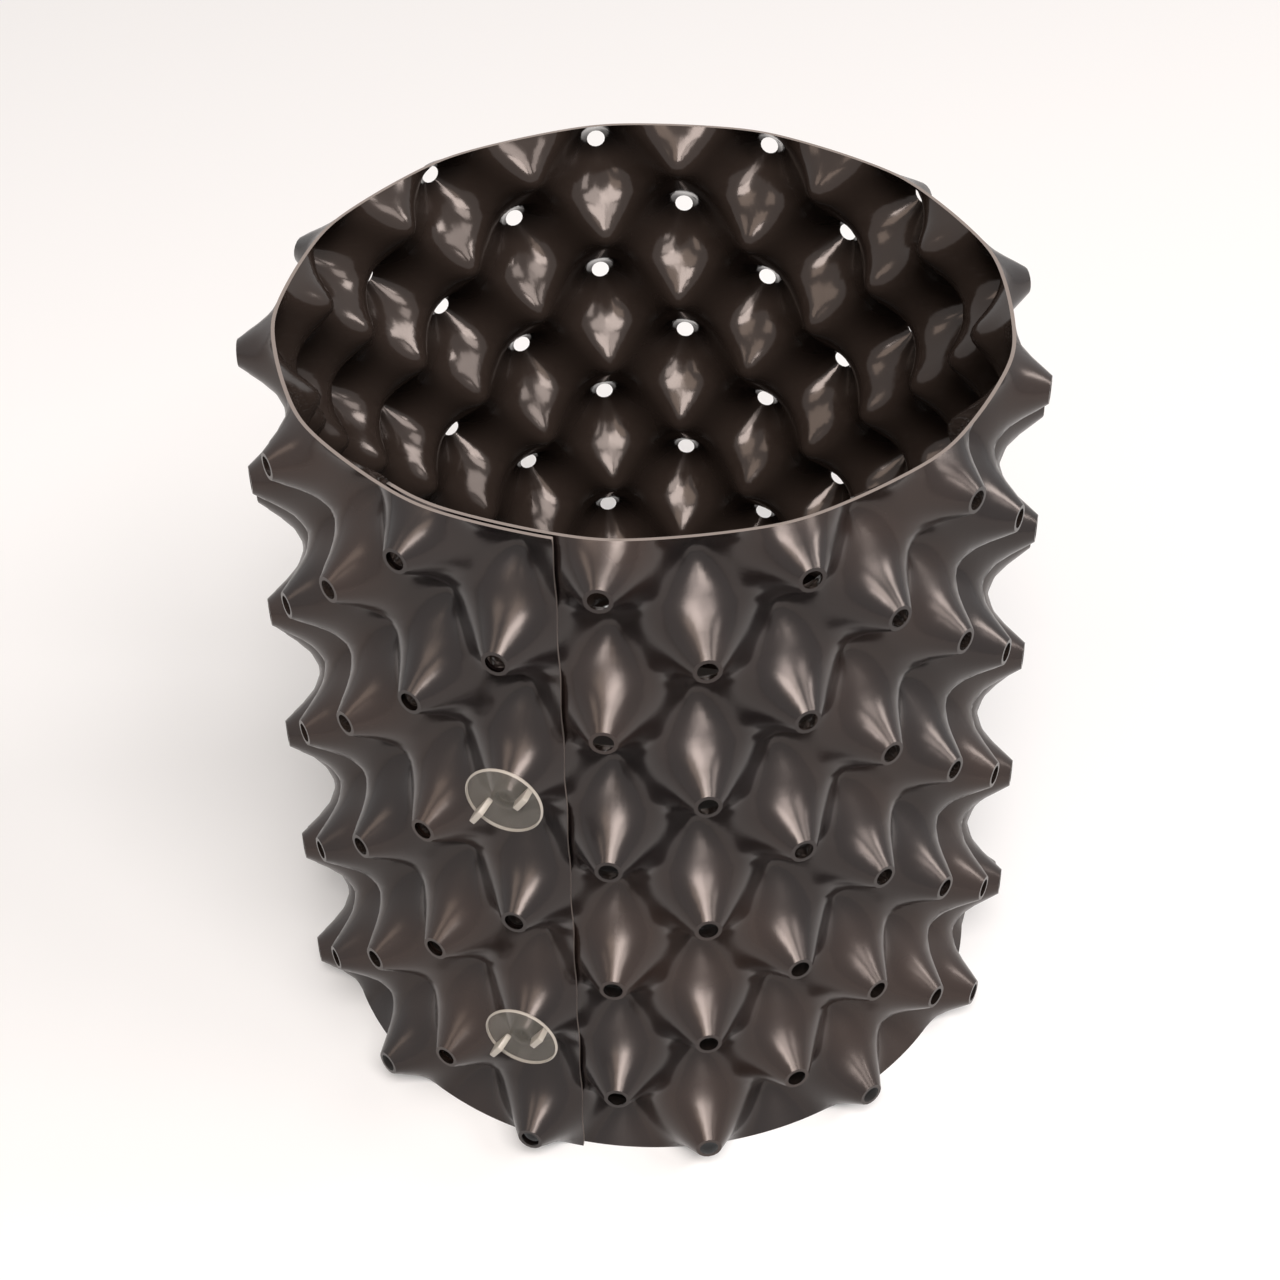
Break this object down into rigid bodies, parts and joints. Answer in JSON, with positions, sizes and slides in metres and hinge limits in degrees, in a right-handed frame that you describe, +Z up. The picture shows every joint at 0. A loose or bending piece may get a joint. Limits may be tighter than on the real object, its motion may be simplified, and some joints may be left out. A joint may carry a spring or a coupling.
{
  "type": "air pruning plant pot",
  "caption": "Round plant pot rolled from a sheet of cones that lean out and in by turns, with air holes in the outward tips, a seam held by round-headed screws and a drained base plate.",
  "frame": {"origin": "on the pot's upright axis, level with the foot edge it stands on", "axes": "+Z up along the pot's axis to the open rim, -Y towards the side with the seam and the screws, +X to the right of it"},
  "size_m": [0.2831, 0.2844, 0.2985],
  "materials": {
    "wall": "black-brown vacuum-formed sheet, satin outside and glossy inside",
    "base": "black moulded plastic",
    "screws": "smoky translucent moulded plastic"
  },
  "bodies": {
    "root": {"wall_sheet": "wall", "base_plate": "base", "fixing_screws": "screws"}
  },
  "joints": []
}
